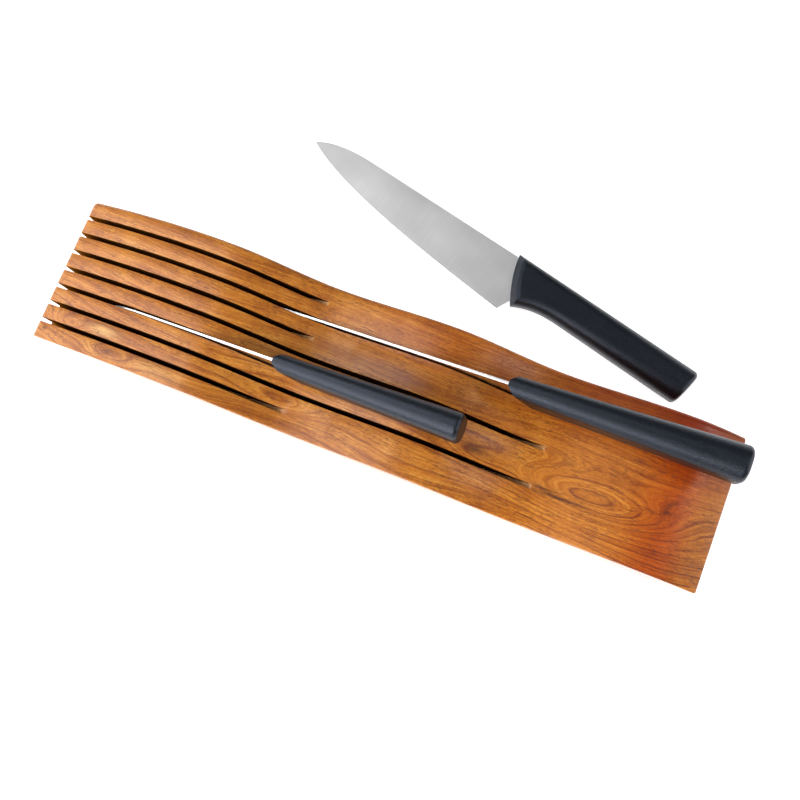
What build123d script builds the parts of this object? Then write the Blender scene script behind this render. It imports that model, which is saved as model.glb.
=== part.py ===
"""Knife block with a waved top, two knives standing in its slots and one knife lying behind it."""
import os
from math import atan2, ceil, cos, degrees, radians, sin, sqrt

from build123d import *

# Block
block_length = 429.0
block_width = 95.0
slotted_end_height = 30.4
crest_height = 56.3
valley_height = 43.0
first_crest = 106.3
wave_length = 146.2
crest_to_valley = 66.5
ramp_slope = 0.42
end_rounding = 6.2
corner_rounding = 3.0
arris = 1.0

# Slots
slot_count = 7
side_wall = 10.4
slot_floor = 12.5
short_slot = 170.3
plain_stretch = 105.6
saw_radius = 127.0

# Blades
blade_thickness = 1.8
small_blade_thickness = 1.5
edge_thickness = 0.3
slot_clearance = 0.5
slot_width = blade_thickness + 2 * slot_clearance
slot_pitch = (block_width - 2 * side_wall - slot_width) / (slot_count - 1)
large_blade_length = 200.0
large_blade_height = 42.5
small_blade_length = 118.0
small_blade_height = 27.8
loose_blade_length = 160.6
loose_blade_height = 36.7

# Handles
large_handle_length = 134.8
large_grip_height = 24.5
large_guard_height = 25.0
large_front_width = 12.9
large_butt_width = 21.6
small_handle_length = 116.0
small_grip_height = 22.5
small_guard_height = 23.0
small_front_width = 11.2
small_butt_width = 16.5
loose_handle_length = 137.3
loose_grip_height = 24.3
loose_guard_height = 32.0
loose_front_width = 13.0
loose_butt_width = 22.0
guard_fade = 37.0
nose_length = 12.0
nose_facet = 4.0
nose_flat = 3.6
front_slant = 0.458
front_bow = 2.0
handle_drop = 1.0
spine_step = 1.7
butt_slant = 0.12
small_butt_slant = 0.01
butt_rounding = 3.0

# Places of the knives
seat_gap = 0.3
large_slot = 2
small_slot = 5
large_inset = 34.4
small_inset = 12.1
large_tilt = 12.9
small_tilt = 12.4
loose_gap = 14.0
loose_inset = 29.0
loose_turn = -14.1

left_end = -block_length / 2
right_end = block_length / 2


def wave_pieces():
    """The top line as cubic curves: start, end and four heights spread evenly over each.

    The waves go on past the plain end, which cuts them off.
    """
    crest = left_end + first_crest
    rise = ramp_slope * first_crest / 3
    ramp = (slotted_end_height, slotted_end_height + rise, crest_height, crest_height)
    pieces = [(left_end, crest, ramp)]
    for _ in range(ceil((block_length - first_crest) / wave_length)):
        valley = crest + crest_to_valley
        next_crest = crest + wave_length
        pieces.append((crest, valley, (crest_height, crest_height, valley_height, valley_height)))
        pieces.append((valley, next_crest, (valley_height, valley_height, crest_height, crest_height)))
        crest = next_crest
    return pieces


def top_height(x):
    """Height of the waved top at x, before its edges are rounded."""
    for start, end, (a, b, c, d) in wave_pieces():
        if start <= x <= end:
            s = (x - start) / (end - start)
            r = 1 - s
            return a * r**3 + 3 * b * r * r * s + 3 * c * r * s * s + d * s**3
    return 0.0


def slot_end(number):
    """Even slots are long, odd ones short; slot 1 is farthest from the front."""
    return right_end - plain_stretch if number % 2 == 0 else left_end + short_slot


def slot_place(number):
    return ((slot_count + 1) / 2 - number) * slot_pitch


def saw_stop(number):
    """Where the saw's centre stops, so that its cut leaves the top at the slot's end."""
    end = slot_end(number)
    climb = top_height(end) - slot_floor
    return end - sqrt(saw_radius**2 - (saw_radius - climb) ** 2)


def floor_height(number, x):
    """Height of the slot's floor at x, and of the top beyond the slot's end."""
    run = x - saw_stop(number)
    if run <= 0:
        return slot_floor
    if x >= slot_end(number):
        return top_height(x)
    return slot_floor + saw_radius - sqrt(saw_radius**2 - run**2)


def slot_cutter(number):
    stop = saw_stop(number)
    reach = 10.0
    start = left_end - reach
    tall = crest_height + reach - slot_floor
    straight = Pos((start + stop) / 2, 0, slot_floor + tall / 2) * Box(stop - start, slot_width, tall)
    disc = Pos(stop, 0, slot_floor + saw_radius) * Rot(90, 0, 0) * Cylinder(saw_radius, slot_width)
    return Pos(0, slot_place(number), 0) * (straight + disc)


def make_block():
    lines = []
    for start, end, heights in wave_pieces():
        step = (end - start) / 3
        lines.append(Bezier(*[(start + i * step, height) for i, height in enumerate(heights)]))
    lines.append(Polyline((end, heights[-1]), (end, 0), (left_end, 0), (left_end, slotted_end_height)))
    side = Plane.XZ * make_face(Curve() + lines)
    waved = extrude(side, block_width / 2, both=True)
    plain_end = Plane(origin=(right_end, 0, 0), z_dir=(1, 0, 0))
    body = split(waved, plain_end, keep=Keep.BOTTOM)
    slotted_edge = body.edges().filter_by(Axis.Y).group_by(Axis.X)[0].sort_by(Axis.Z)[-1]
    body = fillet(slotted_edge, end_rounding)
    plain_edge = body.edges().filter_by(Axis.Y).group_by(Axis.X)[-1].sort_by(Axis.Z)[-1]
    body = fillet(plain_edge, arris)
    upright = body.edges().filter_by(Axis.Z).group_by(Axis.X)[0].sort_by(Axis.Y)[-1]
    body = fillet(upright, corner_rounding)
    sides = body.faces().filter_by(Axis.Y)
    rim = [edge for face in sides for edge in face.edges() if edge.center().Z > arris]
    body = fillet(rim, arris)
    for number in range(1, slot_count + 1):
        body = body - slot_cutter(number)
    return body


def blade_points(length, height, grip):
    """Corner points of a blade, seen from its side, with the spine's end at the origin."""
    tip = (-length, -0.256 * height)
    bend = (-0.73 * length, 0)
    tang_top = 0.2 * grip
    tang_bottom = 0.6 * grip
    step = tang_bottom + 0.55 * (height - tang_bottom)
    heel = (0.21 * height, -height)
    return tip, bend, tang_top, tang_bottom, step, heel


def edge_line(length, height, grip):
    tip, _, _, _, _, heel = blade_points(length, height, grip)
    near_tip = (tip[0] + 0.215 * length, tip[1] - 0.47 * height)
    near_heel = (heel[0] - 0.37 * length, heel[1] + 0.12 * height)
    return [heel, near_heel, near_tip, tip]


def make_blade(length, height, thickness, grip, handle_length):
    tip, bend, tang_top, tang_bottom, step, heel = blade_points(length, height, grip)
    tang_length = 0.7 * handle_length
    corners = [
        bend,
        (0, 0),
        (front_slant * tang_top, -tang_top),
        (tang_length, -tang_top),
        (tang_length, -tang_bottom),
        (front_slant * tang_bottom, -tang_bottom),
        (front_slant * step, -step),
        heel,
    ]
    spine_tip = Bezier(tip, (-0.94 * length, -0.07 * height), (-0.85 * length, 0), bend)
    outline = [spine_tip, Polyline(*corners), Bezier(*edge_line(length, height, grip))]
    side = Plane.XZ * make_face(Curve() + outline)
    plate = extrude(side, thickness / 2, both=True)
    belly = 0.22 * height
    rise = tip[1] - heel[1]
    lean = degrees(atan2(rise, heel[0] - tip[0]))
    deep = (height + belly) * cos(radians(lean))
    half = thickness / 2
    thin = edge_thickness / 2
    over = 0.2
    spread = half + (half - thin) * over
    wedge_face = make_face(
        Polyline(
            (thin, 0),
            (spread, deep * (1 + over)),
            (-spread, deep * (1 + over)),
            (-thin, 0),
            close=True,
        )
    )
    section = Plane(origin=(0, 0, 0), x_dir=(0, 1, 0), z_dir=(1, 0, 0)) * wedge_face
    wedge = extrude(section, length + handle_length, both=True)
    low = Pos(heel[0], 0, heel[1] - belly)
    return plate & (low * Rot(0, lean, 0) * wedge)


def make_handle(length, grip, guard, front, butt, slant, blade):
    """A lofted grip with a rounded nose, moulded around the blade's tang."""
    shoulder = front_slant * guard
    flare = (butt - front) / length
    first = -1.5 * front_bow
    last = shoulder + guard_fade
    sections = []
    for i in range(8):
        place = first + (last - first) * i / 7
        tall = grip + (guard - grip) * ((last - place) / guard_fade) ** 3
        wide = front + flare * max(place - shoulder, 0)
        plane = Plane(origin=(place, 0, -tall / 2), x_dir=(0, 1, 0), z_dir=(1, 0, 0))
        sections.append(plane * RectangleRounded(wide, tall, 0.42 * wide))
    end = Plane(origin=(length - slant * grip / 2, 0, -grip / 2), x_dir=(0, 1, 0), z_dir=(1, 0, -slant))
    butt_end = loft([sections[-1], end * RectangleRounded(butt, grip, 0.42 * butt)])
    butt_edges = butt_end.faces().sort_by(Axis.X)[-1].edges()
    grip_body = loft(sections) + fillet(butt_edges, butt_rounding)
    above = 2.0
    half = 0.53 * front
    flank = [
        (nose_facet, 0.86 * half),
        (0.6 * nose_length, 0.98 * half),
        (0.8 * nose_length, half),
        (nose_length, half),
    ]
    other_flank = [(x, -y) for x, y in reversed(flank)]
    behind = Polyline(flank[-1], (1.2 * length, butt), (1.2 * length, -butt), other_flank[0])
    front_lines = Polyline(other_flank[-1], (0, -nose_flat / 2), (0, nose_flat / 2), flank[0])
    plan = make_face(Curve() + [front_lines, Bezier(*flank), behind, Bezier(*other_flank)])
    levels = []
    for depth in (-above, guard / 3, 2 * guard / 3, guard + above):
        bow = 4 * front_bow * depth * (guard - depth) / guard**2
        levels.append(Pos(front_slant * depth - bow, 0, -depth) * plan)
    return Pos(0, 0, spine_step) * Rot(0, handle_drop, 0) * (grip_body & loft(levels)) - blade


def make_knife(length, height, thickness, handle_length, grip, guard, front, butt, slant):
    blade = make_blade(length, height, thickness, grip, handle_length)
    handle = make_handle(handle_length, grip, guard, front, butt, slant, blade)
    return blade, handle


def bezier_point(points, s):
    r = 1 - s
    weights = (r**3, 3 * r * r * s, 3 * r * s * s, s**3)
    return tuple(sum(w * p[i] for w, p in zip(weights, points)) for i in range(2))


def seat_in_slot(number, inset, tilt, edge, handle_length, grip, guard):
    """Place of a knife that is lowered, at its tilt, until the slot or the top carries it."""
    start = slot_end(number) - inset
    steps = [i / 40 for i in range(41)]
    blade_low = [bezier_point(edge, s) for s in steps]
    shoulder = front_slant * guard
    handle_low = [(shoulder, -guard)]
    handle_low += [(shoulder + s * (handle_length - shoulder), -grip) for s in steps]
    carried = (
        (blade_low, radians(tilt), lambda x: floor_height(number, x)),
        (handle_low, radians(tilt - handle_drop), lambda x: top_height(x) - spine_step),
    )
    lifts = []
    for points, angle, support in carried:
        for x, z in points:
            across = start + x * cos(angle) - z * sin(angle)
            lifts.append(support(across) - x * sin(angle) - z * cos(angle))
    return Pos(start, slot_place(number), max(lifts) + seat_gap) * Rot(0, -tilt, 0)


large_blade, large_handle = make_knife(
    large_blade_length,
    large_blade_height,
    blade_thickness,
    large_handle_length,
    large_grip_height,
    large_guard_height,
    large_front_width,
    large_butt_width,
    butt_slant,
)
small_blade, small_handle = make_knife(
    small_blade_length,
    small_blade_height,
    small_blade_thickness,
    small_handle_length,
    small_grip_height,
    small_guard_height,
    small_front_width,
    small_butt_width,
    small_butt_slant,
)
loose_blade, loose_handle = make_knife(
    loose_blade_length,
    loose_blade_height,
    blade_thickness,
    loose_handle_length,
    loose_grip_height,
    loose_guard_height,
    loose_front_width,
    loose_butt_width,
    butt_slant,
)

large_seat = seat_in_slot(
    large_slot,
    large_inset,
    large_tilt,
    edge_line(large_blade_length, large_blade_height, large_grip_height),
    large_handle_length,
    large_grip_height,
    large_guard_height,
)
small_seat = seat_in_slot(
    small_slot,
    small_inset,
    small_tilt,
    edge_line(small_blade_length, small_blade_height, small_grip_height),
    small_handle_length,
    small_grip_height,
    small_guard_height,
)

droop = degrees(atan2((loose_butt_width - edge_thickness) / 2, loose_blade_length + loose_handle_length))
lying = Rot(0, 0, loose_turn) * Rot(0, -droop, 0) * Rot(-90, 0, 0)
loose_box = Compound([lying * loose_blade, lying * loose_handle]).bounding_box()
loose_seat = (
    Pos(
        right_end - loose_inset - loose_box.max.X,
        block_width / 2 + loose_gap - loose_box.min.Y,
        -loose_box.min.Z,
    )
    * lying
)

parts = {
    "block": make_block(),
    "large_blade": large_seat * large_blade,
    "large_handle": large_seat * large_handle,
    "small_blade": small_seat * small_blade,
    "small_handle": small_seat * small_handle,
    "loose_blade": loose_seat * loose_blade,
    "loose_handle": loose_seat * loose_handle,
}

os.makedirs("parts", exist_ok=True)
for name, piece in parts.items():
    export_step(piece, f"parts/{name}.step")
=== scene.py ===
import math

import bmesh
import bpy
from mathutils import Matrix, Vector


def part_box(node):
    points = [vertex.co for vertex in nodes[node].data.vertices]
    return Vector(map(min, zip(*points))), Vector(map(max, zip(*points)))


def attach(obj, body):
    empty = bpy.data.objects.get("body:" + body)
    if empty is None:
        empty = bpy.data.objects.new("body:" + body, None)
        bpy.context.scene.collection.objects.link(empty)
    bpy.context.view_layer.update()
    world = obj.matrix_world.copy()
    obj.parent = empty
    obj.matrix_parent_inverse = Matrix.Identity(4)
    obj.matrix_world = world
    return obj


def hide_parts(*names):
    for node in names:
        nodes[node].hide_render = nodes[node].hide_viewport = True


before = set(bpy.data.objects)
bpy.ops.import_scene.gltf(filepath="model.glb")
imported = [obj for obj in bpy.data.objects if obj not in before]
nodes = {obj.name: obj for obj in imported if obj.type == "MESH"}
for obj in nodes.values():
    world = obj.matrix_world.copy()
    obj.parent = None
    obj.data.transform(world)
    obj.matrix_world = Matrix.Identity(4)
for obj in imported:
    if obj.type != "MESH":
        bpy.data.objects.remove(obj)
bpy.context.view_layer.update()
scene = bpy.context.scene

# How the knives lie, in degrees
large_tilt = 12.9
small_tilt = 12.4
loose_turn = -14.1


class Shade:
    """A value in a finish; arithmetic on it adds Math nodes."""

    def __init__(self, finish, socket):
        self.finish = finish
        self.socket = socket

    def maths(self, operation, first, second):
        return self.finish.add("ShaderNodeMath", {"operation": operation}, {0: first, 1: second})

    def __add__(self, other):
        return self.maths("ADD", self, other)

    def __radd__(self, other):
        return self.maths("ADD", other, self)

    def __sub__(self, other):
        return self.maths("SUBTRACT", self, other)

    def __rsub__(self, other):
        return self.maths("SUBTRACT", other, self)

    def __mul__(self, other):
        return self.maths("MULTIPLY", self, other)

    def __rmul__(self, other):
        return self.maths("MULTIPLY", other, self)

    def __truediv__(self, other):
        return self.maths("DIVIDE", self, other)

    def __pow__(self, other):
        return self.maths("POWER", self, other)

    def __rpow__(self, other):
        return self.maths("POWER", other, self)


class Finish:
    """A material with its nodes, measured in millimetres of the object's own frame."""

    def __init__(self, name):
        self.material = bpy.data.materials.new(name)
        self.material.use_nodes = True
        self.tree = self.material.node_tree
        self.shader = self.tree.nodes["Principled BSDF"]

    def add(self, kind, settings, sockets, output=0):
        node = self.tree.nodes.new(kind)
        for name, value in settings.items():
            if name == "stops":
                self.set_stops(node.color_ramp, value)
            else:
                setattr(node, name, value)
        for name, value in sockets.items():
            self.put(node.inputs[name], value)
        return Shade(self, node.outputs[output])

    def set_stops(self, ramp, stops):
        while len(ramp.elements) < len(stops):
            ramp.elements.new(1.0)
        for element, (place, colour) in zip(ramp.elements, stops):
            element.position = place
            element.color = (*colour, 1.0)

    def put(self, socket, value):
        if isinstance(value, Shade):
            self.tree.links.new(value.socket, socket)
        else:
            socket.default_value = value

    def set(self, **sockets):
        for name, value in sockets.items():
            self.put(self.shader.inputs[name.replace("_", " ")], value)

    def place(self, turn=(0, 0, 0)):
        """Points of the surface in millimetres, turned so that x runs along the piece."""
        own = self.add("ShaderNodeTexCoord", {}, {}, "Object")
        angles = [math.radians(a) for a in turn]
        return self.add(
            "ShaderNodeMapping", {}, {"Vector": own, "Rotation": angles, "Scale": (1000, 1000, 1000)}
        )

    def axes(self, point):
        return [self.add("ShaderNodeSeparateXYZ", {}, {0: point}, axis) for axis in range(3)]

    def noise(self, point, stretch, detail=2.0, roughness=0.5):
        """Noise with a grain of the given size in millimetres along each axis."""
        shares = [1 / s for s in stretch]
        scaled = self.add("ShaderNodeVectorMath", {"operation": "MULTIPLY"}, {0: point, 1: shares})
        sockets = {"Vector": scaled, "Scale": 1.0, "Detail": detail, "Roughness": roughness}
        return self.add("ShaderNodeTexNoise", {}, sockets, 0)

    def spread(self, value, low, high, start=0.0, end=1.0):
        """Value from low to high taken smoothly to start to end."""
        settings = {"interpolation_type": "SMOOTHSTEP"}
        sockets = {0: value, 1: low, 2: high, 3: start, 4: end}
        return self.add("ShaderNodeMapRange", settings, sockets)

    def mix(self, share, first, second, blend="MIX"):
        settings = {"data_type": "RGBA", "blend_type": blend}
        return self.add("ShaderNodeMix", settings, {0: share, 6: first, 7: second}, 2)

    def ramp(self, value, stops):
        return self.add("ShaderNodeValToRGB", {"stops": stops}, {0: value})

    def bump(self, height, depth, strength):
        sockets = {"Height": height, "Distance": depth, "Strength": strength}
        return self.add("ShaderNodeBump", {}, sockets)


def colour(red, green, blue, alpha=False):
    """A screen colour of 0 to 255 in the linear values that shaders use."""
    linear = []
    for part in (red, green, blue):
        share = part / 255
        linear.append(share / 12.92 if share <= 0.04045 else ((share + 0.055) / 1.055) ** 2.4)
    return (*linear, 1.0) if alpha else tuple(linear)


# Swirls of the growth rings on the block: along, across, reach along, reach across, rise
swirls = [
    (72.0, -19.0, 20.0, 6.0, 9.0),
    (138.0, -21.0, 50.0, 14.0, 29.0),
    (-157.0, -43.0, 20.0, 6.0, 9.0),
    (-192.0, -33.0, 18.0, 7.0, 10.0),
    (-50.0, -31.0, 26.0, 7.0, 11.0),
    (-18.0, -15.0, 20.0, 6.0, 4.0),
]

# Growth rings: how far off their heart lies, their spacing, and how thin their dark lines are
heart_aside = 110.0
heart_below = 20.0
ring_spacing = 5.0
ring_thinness = 12.0

# Dark knots and pale patches: along, across, reach along, reach across, strength
knots = [
    (-207.0, -40.5, 1.6, 1.0, 0.9),
    (-157.0, -41.0, 3.0, 1.3, 0.75),
    (70.0, -16.0, 8.0, 3.0, 0.75),
    (184.5, -11.0, 2.6, 1.2, 0.7),
    (174.0, -13.0, 5.0, 1.0, 0.45),
    (126.0, -24.6, 15.0, 1.0, 1.0),
    (114.0, -22.4, 7.0, 0.8, 0.95),
    (-64.0, -5.0, 16.0, 2.2, 0.4),
]
pale_patches = [
    (-165.0, -30.0, 9.0, 3.2, 0.6),
    (-124.0, -42.0, 16.0, 4.0, 0.3),
]

# Tones of the wood from dark to pale
wood_tones = [
    (0.38, (134, 70, 14)),
    (0.44, (160, 90, 21)),
    (0.50, (181, 109, 31)),
    (0.56, (197, 128, 45)),
    (0.63, (212, 150, 70)),
]

# Tints by which stretches of the wood are warmer or redder, and darker on the far side as painted
# shade
warm_tint = (1.08, 1.0, 0.85, 1.0)
red_tint = (0.86, 0.47, 0.2, 1.0)
far_shade_tint = (0.86, 0.72, 0.66, 1.0)
far_end_shade_tint = (0.84, 0.56, 0.28, 1.0)


def wood_finish(name, kind):
    """Wood with its grain along the block: oiled top, planed side, or a slot's raw walls, painted
    darker as shade, or its end.
    """
    wood = Finish(name)
    point = wood.place()
    along, across, up = wood.axes(point)

    def spot(x, y, reach, width):
        far = ((along - x) / reach) ** 2.0 + ((across - y) / width) ** 2.0
        return math.e ** (far * -1.0)

    # Growth rings, bent by slow and quick waves and by the swirls
    sway = wood.noise(point, (240.0, 80.0, 80.0), 1.0) - 0.5
    flutter = wood.noise(point, (30.0, 9.0, 9.0), 3.0) - 0.5
    over, deep = (up, across) if kind == "planed" else (across, up)
    side = over + heart_aside + sway * 14.0 + flutter * 2.6
    height = deep * 0.8 + heart_below
    ring = (side * side + height * height) ** 0.5
    for x, y, reach, width, rise in swirls:
        ring = ring + spot(x, y, reach, width) * rise
    wave = wood.add("ShaderNodeMath", {"operation": "SINE"}, {0: ring * (2 * math.pi / ring_spacing)})
    line = (wave * 0.5 + 0.5) ** ring_thinness
    presence = wood.spread(wood.noise(point, (42.0, 9.0, 9.0), 2.0), 0.34, 0.54)
    boldness = wood.spread(along, 50.0, 120.0, 0.62, 0.82)
    shown = wood.spread(across, 30.0, -22.0, 0.2, 1.0) * presence * boldness

    # Streaks, bands and figure, and the pores that run with the grain
    follow = wood.add("ShaderNodeCombineXYZ", {}, {0: along, 1: ring, 2: deep * 0.2})
    streak = wood.noise(follow, (40.0, 0.9, 6.0), 3.0, 0.7)
    band = wood.noise(follow, (130.0, 6.0, 16.0), 2.0, 0.5)
    figure = wood.noise(point, (12.0, 34.0, 34.0), 2.0, 0.5)
    cluster = wood.spread(wood.noise(point, (26.0, 6.0, 6.0), 2.0), 0.4, 0.6, 0.3, 1.0)
    vessel = wood.add("ShaderNodeCombineXYZ", {}, {0: along, 1: side, 2: deep * 0.5})
    grain = wood.noise(vessel, (2.4, 0.5, 0.9), 2.0, 0.6)
    fine_pore = wood.spread(wood.noise(vessel, (3.2, 0.5, 1.0), 2.0, 0.6), 0.54, 0.62)
    long_pore = wood.spread(wood.noise(vessel, (9.0, 0.75, 1.4), 2.0, 0.6), 0.57, 0.65)

    # Colour, from the tone of the wood to its knots
    tone = streak * 0.4 + band * 0.25 + figure * 0.15 + grain * 0.2
    toned = wood.ramp(tone, [(place, colour(*shade)) for place, shade in wood_tones])
    warm_half = wood.spread(along, 10.0, 90.0)
    # The right end is redder from x 150 mm; the red lifts off again over x 188 to 208 mm as a painted
    # sheen on the end's slope
    red_end_and_sheen = wood.spread(along, 150.0, 186.0) * wood.spread(along, 188.0, 208.0, 1.0, 0.0)
    # Painted shade: the far half of the top darker from x -40 mm on, and darker still beyond x 95 mm
    # behind the large handle
    far_side_shade = wood.spread(along, -40.0, 20.0) * wood.spread(across, -2.0, 30.0)
    far_end_shade = wood.spread(along, 95.0, 135.0) * wood.spread(across, 2.0, 34.0)
    for share, tint in (
        (warm_half, warm_tint),
        (red_end_and_sheen, red_tint),
        (far_side_shade, far_shade_tint),
        (far_end_shade, far_end_shade_tint),
    ):
        toned = wood.mix(share, toned, tint, "MULTIPLY")
    for x, y, reach, width, strength in pale_patches:
        toned = wood.mix(spot(x, y, reach, width) * strength, toned, colour(228, 184, 112, True))
    toned = wood.mix(line * shown, toned, colour(112, 42, 12, True))
    toned = wood.mix(fine_pore * cluster * 0.6, toned, colour(92, 38, 12, True))
    toned = wood.mix(long_pore * cluster * 0.5, toned, colour(82, 32, 10, True))
    for x, y, reach, width, strength in knots:
        smudge = spot(x, y, reach, width) * wood.spread(streak, 0.35, 0.55, 0.5, 1.0)
        toned = wood.mix(smudge * strength, toned, colour(58, 22, 16, True))

    # What the surface was worked with
    rough = 0.27 + (1.0 - tone) * 0.1 + fine_pore * 0.1
    if kind == "oiled":
        wood.set(Base_Color=toned, Roughness=rough)
    elif kind == "planed":
        wood.set(Base_Color=toned, Roughness=rough * 0.35)
    elif kind == "wall":
        # Slot walls: painted shade, the wood taken towards near-black, less so near the open left end
        # of the block
        slot_shade = wood.spread(along, -214.0, -196.0, 0.45, 0.88)
        wood.set(Base_Color=wood.mix(slot_shade, toned, colour(10, 6, 4, True)), Roughness=rough + 0.4)
    else:
        raw = wood.mix(0.5, toned, colour(214, 170, 126, True))
        torn = wood.mix(fine_pore * 0.6, raw, colour(60, 34, 20, True))
        wood.set(Base_Color=torn, Roughness=rough + 0.35)
    wood.set(Normal=wood.bump(streak * 0.3 - fine_pore * 0.7, 0.0001, 0.35))
    shine = 0.46 if kind in ("oiled", "planed") else 0.0
    wood.shader.inputs["Specular IOR Level"].default_value = shine
    return wood.material


def steel_finish(name, turn, standing):
    """Steel brushed from spine to edge; a standing blade shows its brushing along the view."""
    steel = Finish(name)
    point = steel.place(turn)
    brush = steel.noise(point, (0.35, 30.0, 14.0), 3.0, 0.6)
    cloud = steel.noise(point, (55.0, 30.0, 30.0), 2.0)
    scuff = steel.spread(steel.noise(point, (9.0, 0.5, 0.5), 2.0, 0.6), 0.62, 0.8)
    shine = brush * 0.35 + cloud * 0.65
    base = steel.ramp(shine, [(0.3, colour(214, 214, 216)), (0.7, colour(240, 240, 241))])
    smooth = 0.2 if standing else 0.4
    rough = smooth + brush * 0.12 + cloud * 0.08 + scuff * 0.05
    steel.set(Base_Color=base, Metallic=1.0, Roughness=rough)
    steel.set(Normal=steel.bump(brush, 0.00002, 0.25))
    if standing:
        steel.shader.inputs["Anisotropic"].default_value = 0.7
    return steel.material


def plastic_finish(name):
    """Black plastic with a fine moulded grain, rubbed a little smoother in places."""
    plastic = Finish(name)
    point = plastic.place()
    grain = plastic.noise(point, (0.75, 0.75, 0.75), 2.0, 0.7)
    cloud = plastic.noise(point, (28.0, 18.0, 18.0), 3.0)
    rub = plastic.spread(plastic.noise(point, (16.0, 5.0, 5.0), 4.0, 0.65), 0.5, 0.75)
    shade = cloud * 0.4 + grain * 0.6
    base = plastic.ramp(shade, [(0.35, colour(2, 6, 9)), (0.65, colour(13, 20, 25))])
    plastic.set(Base_Color=base, Roughness=0.29 + cloud * 0.08 - rub * 0.05)
    plastic.set(Normal=plastic.bump(grain, 0.0003, 0.8))
    plastic.shader.inputs["Specular IOR Level"].default_value = 0.57
    plastic.shader.inputs["Specular Tint"].default_value = (0.74, 0.8, 1.0, 1.0)
    return plastic.material


def dress(node, material):
    """Gives a solid's own mesh a material."""
    piece = nodes[node]
    piece.data.materials.clear()
    piece.data.materials.append(material)


def copy_of(node, name):
    """A loose copy of a solid's mesh, its triangles joined and its flat faces made whole."""
    bpy.ops.object.select_all(action="DESELECT")
    nodes[node].select_set(True)
    bpy.context.view_layer.objects.active = nodes[node]
    bpy.ops.object.duplicate()
    piece = bpy.context.active_object
    piece.name = name
    piece.parent = None
    piece.data.materials.clear()
    bpy.ops.object.mode_set(mode="EDIT")
    bpy.ops.mesh.select_all(action="SELECT")
    bpy.ops.mesh.remove_doubles(threshold=1e-6)
    bpy.ops.mesh.customdata_custom_splitnormals_clear()
    bpy.ops.mesh.dissolve_limited(angle_limit=math.radians(0.05))
    bpy.ops.object.mode_set(mode="OBJECT")
    return piece


def unpick(kind):
    """Leaves nothing of the active piece selected, ready for parts of that kind to be picked."""
    bpy.ops.object.mode_set(mode="EDIT")
    bpy.ops.mesh.select_mode(type=kind)
    bpy.ops.mesh.select_all(action="DESELECT")
    bpy.ops.object.mode_set(mode="OBJECT")


def soften(piece, chosen, width, steps=2):
    """Rounds the edges whose numbers are chosen."""
    unpick("EDGE")
    for number in chosen:
        piece.data.edges[number].select = True
    bpy.ops.object.mode_set(mode="EDIT")
    bpy.ops.mesh.bevel(offset=width, segments=steps, affect="EDGES", clamp_overlap=True)
    bpy.ops.object.mode_set(mode="OBJECT")


def finish_piece(piece, node, body, crease):
    """Shades the piece smooth but for creases sharper than that angle, and hands it to its body."""
    bpy.ops.object.shade_smooth_by_angle(angle=math.radians(crease))
    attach(piece, body)
    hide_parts(node)


# Slots of the block, in metres
slot_width = 0.0028
side_wall = 0.0104
slot_count = 7
short_slot = 0.1703
plain_stretch = 0.1056
rim_rounding = 0.0004
close_by = 0.00002
block_low, block_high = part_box("block")
slot_pitch = (block_high.y - block_low.y - 2 * side_wall - slot_width) / (slot_count - 1)
slots = []
for number in range(slot_count):
    middle = block_high.y - side_wall - slot_width / 2 - number * slot_pitch
    end = block_high.x - plain_stretch if number % 2 else block_low.x + short_slot
    slots.append((middle, end))


def in_slot(place, room):
    """Whether a place lies in a slot or within that room of it."""
    return any(abs(place.y - y) < slot_width / 2 + room and place.x < end + room for y, end in slots)


def make_block():
    """The block with softened slot rims, and a wood of its own for each kind of surface."""
    piece = copy_of("block", "oiled_block")
    mesh = bmesh.new()
    mesh.from_mesh(piece.data)
    rims = []
    for edge in mesh.edges:
        middle = (edge.verts[0].co + edge.verts[1].co) / 2
        if edge.calc_face_angle_signed() > math.radians(40) and in_slot(middle, close_by):
            rims.append(edge.index)
    mesh.free()
    soften(piece, rims, rim_rounding)
    kinds = ("oiled", "wall", "end", "planed")
    for kind in kinds:
        piece.data.materials.append(wood_finish(kind + "_wood", kind))
    for face in piece.data.polygons:
        if in_slot(face.center, close_by):
            sawn_end = face.normal.x < -0.1 and face.normal.z > 0.05
            face.material_index = kinds.index("end" if sawn_end else "wall")
        elif abs(face.normal.y) > 0.95:
            face.material_index = kinds.index("planed")
    finish_piece(piece, "block", "block", 28)
    return piece


# Blades, in metres: what counts as the edge, how thin it is ground and how wide the grind is
edge_half = 0.00016
edge_share = 0.2
grind_width = 0.0006


def broad_sides(piece):
    """The two largest faces of a blade."""
    return sorted(piece.data.polygons, key=lambda face: -face.area)[:2]


def root_corners(piece, face):
    """The corners of a blade's side where its tang begins, which point inwards."""
    places = [piece.data.vertices[number].co for number in face.vertices]
    found = []
    for count, number in enumerate(face.vertices):
        before = places[count] - places[count - 1]
        after = places[(count + 1) % len(places)] - places[count]
        if before.cross(after).dot(face.normal) < 0 and before.angle(after) > math.radians(20):
            found.append(number)
    return found


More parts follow.
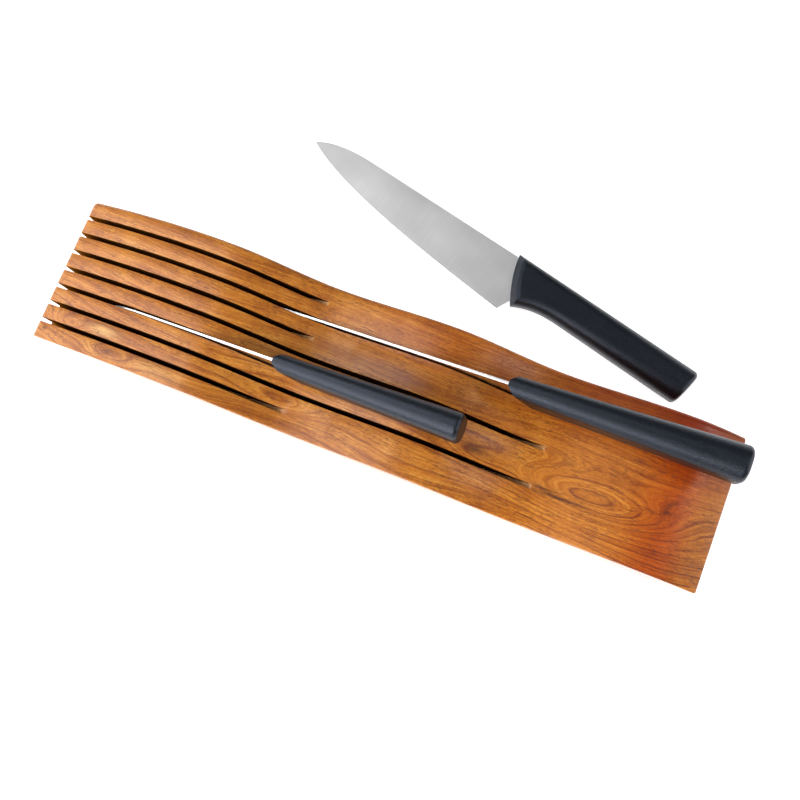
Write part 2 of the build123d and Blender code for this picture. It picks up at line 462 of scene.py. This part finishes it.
def make_blade(node, body, material):
    """A blade with a fine second grind along its edge."""
    piece = copy_of(node, node + "_ground")
    unpick("VERT")
    for face in broad_sides(piece):
        for number in root_corners(piece, face):
            piece.data.vertices[number].select = True
    bpy.ops.object.mode_set(mode="EDIT")
    bpy.ops.mesh.vert_connect()
    unpick("FACE")
    sides = broad_sides(piece)
    across = (sides[0].normal - sides[1].normal).normalized()
    middle = (sides[0].center + sides[1].center) / 2
    edge_line = []
    for face in sides:
        face.select = True
        for number in face.vertices:
            if abs((piece.data.vertices[number].co - middle).dot(across)) < edge_half:
                edge_line.append(number)
    bpy.ops.object.mode_set(mode="EDIT")
    bpy.ops.mesh.inset(thickness=grind_width)
    unpick("VERT")
    for number in edge_line:
        piece.data.vertices[number].select = True
    thinner = [edge_share if abs(share) > 0.9 else 1.0 for share in across]
    bpy.ops.object.mode_set(mode="EDIT")
    bpy.ops.transform.resize(value=thinner, center_override=middle)
    bpy.ops.object.mode_set(mode="OBJECT")
    piece.data.materials.append(material)
    finish_piece(piece, node, body, 12)
    for face in piece.data.polygons:
        face.use_smooth = abs(face.normal.dot(across)) < 0.5


# Torn fibres at the ends of two slots, in metres: slot, back from the end, aside, length, width, rise
fibres = [
    (3, 0.0030, 0.0004, 0.0042, 0.0008, 0.10),
    (3, 0.0012, -0.0006, 0.0030, 0.0006, 0.16),
    (5, 0.0062, 0.0006, 0.0056, 0.0009, 0.08),
    (5, 0.0040, -0.0005, 0.0062, 0.0010, 0.12),
    (5, 0.0018, 0.0003, 0.0048, 0.0008, 0.17),
    (5, 0.0008, -0.0008, 0.0034, 0.0006, 0.20),
]


def make_fibres(block):
    """Slivers of raw wood that stand out of the sawn ends of the slots."""
    made = []
    bpy.context.view_layer.update()
    for number, back, aside, length, width, rise in fibres:
        middle, end = slots[number]
        x = end - back
        ground = block.ray_cast(Vector((x, middle, 0.2)), Vector((0, 0, -1)))[1]
        bpy.ops.object.select_all(action="DESELECT")
        bpy.ops.mesh.primitive_cone_add(vertices=6, radius1=width / 2, radius2=width / 9, depth=length)
        bpy.ops.object.mode_set(mode="EDIT")
        bpy.ops.mesh.select_all(action="SELECT")
        bpy.ops.mesh.subdivide(number_cuts=2, fractal=0.25, seed=number + len(made))
        bpy.ops.transform.resize(value=(0.5, 1.0, 1.0), center_override=(0, 0, 0))
        lean = math.radians(-90) + rise
        bpy.ops.transform.rotate(value=-lean, orient_axis="Y", center_override=(0, 0, 0))
        place = (ground.x - length * 0.2, ground.y + aside, ground.z + width * 0.3)
        bpy.ops.transform.translate(value=place)
        bpy.ops.object.mode_set(mode="OBJECT")
        made.append(bpy.context.active_object)
    for sliver in made:
        sliver.select_set(True)
    bpy.ops.object.join()
    piece = bpy.context.active_object
    piece.name = "torn_fibres"
    piece.data.materials.clear()
    piece.data.materials.append(wood_finish("fibre_wood", "end"))
    bpy.ops.object.shade_smooth_by_angle(angle=math.radians(40))
    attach(piece, "block")


make_fibres(make_block())
make_blade("large_blade", "large_knife", steel_finish("large_blade_steel", (0, large_tilt, 0), True))
make_blade("small_blade", "small_knife", steel_finish("small_blade_steel", (0, small_tilt, 0), True))
make_blade("loose_blade", "loose_knife", steel_finish("loose_blade_steel", (0, 0, -loose_turn), False))
black_plastic = plastic_finish("black_plastic")
for name in ("large_handle", "small_handle", "loose_handle"):
    dress(name, black_plastic)


# Lamps, in metres: place, width and height, and brightness as seen from the front
lamps = {
    "front_light": ((-0.44, -0.9, 0.86), (0.95, 0.85), 5.8),
    "left_light": ((-0.72, -0.1, 1.06), (0.85, 0.75), 3.4),
    "low_light": ((-1.3, -0.15, 0.62), (0.9, 0.75), 3.35),
    "right_light": ((1.4, 0.2, 0.6), (0.8, 0.35), 5.5),
    "back_light": ((0.85, 0.36, 1.05), (0.25, 0.3), 7.0),
}
lamp_target = Vector((0.0, 0.03, 0.04))


def soft_box(name, place, size, strength):
    """A square lamp that faces the block."""
    lamp = bpy.data.lights.new(name, "AREA")
    lamp.shape = "RECTANGLE"
    lamp.size, lamp.size_y = size
    lamp.energy = strength * math.pi * size[0] * size[1]
    holder = bpy.data.objects.new(name, lamp)
    holder.location = place
    aim = lamp_target - Vector(place)
    holder.rotation_euler = aim.to_track_quat("-Z", "Y").to_euler()
    scene.collection.objects.link(holder)


for lamp_name, (place, size, strength) in lamps.items():
    soft_box(lamp_name, place, size, strength)

# Studio: brightness of the surroundings, and size, drop and glow of the floor
white = (1.0, 1.0, 1.0, 1.0)
pale_grey = (0.8, 0.8, 0.8, 1.0)
room_light = 0.2
floor_size = 8.0
floor_drop = 0.0002
floor_glow = 0.75

world = bpy.data.worlds.new("studio")
scene.world = world
world.use_nodes = True
surroundings = world.node_tree.nodes["Background"]
surroundings.inputs["Color"].default_value = white
surroundings.inputs["Strength"].default_value = room_light

bpy.ops.object.select_all(action="DESELECT")
bpy.ops.mesh.primitive_plane_add(size=floor_size, location=(0.0, 0.0, -floor_drop))
floor = bpy.context.active_object
floor.name = "studio_floor"
floor_finish = Finish("studio_floor")
floor_finish.set(Base_Color=pale_grey, Roughness=0.9)
floor_finish.set(Emission_Color=white, Emission_Strength=floor_glow)
floor.data.materials.append(floor_finish.material)

# Camera
image_side = 800.0
focal_pixels = 849.006
middle_across = 394.834
middle_down = 385.74
sensor = 36.0
right_way = Vector((0.9303364, 0.3657208, -0.0268789))
down_way = Vector((0.3567933, -0.9196783, -0.1639828))
look_way = Vector((-0.0846919, 0.1429690, -0.9860969))
camera_place = Vector((0.055453, -0.069824, 0.546374))

lens = bpy.data.cameras.new("camera")
lens.sensor_width = sensor
lens.lens = focal_pixels / image_side * sensor
lens.shift_x = (image_side / 2 - middle_across) / image_side
lens.shift_y = (middle_down - image_side / 2) / image_side
lens.clip_start = 0.01
camera = bpy.data.objects.new("camera", lens)
scene.collection.objects.link(camera)
turn = Matrix((right_way, -down_way, -look_way)).transposed().to_4x4()
camera.matrix_world = Matrix.Translation(camera_place) @ turn
scene.camera = camera
scene.view_settings.view_transform = "Standard"
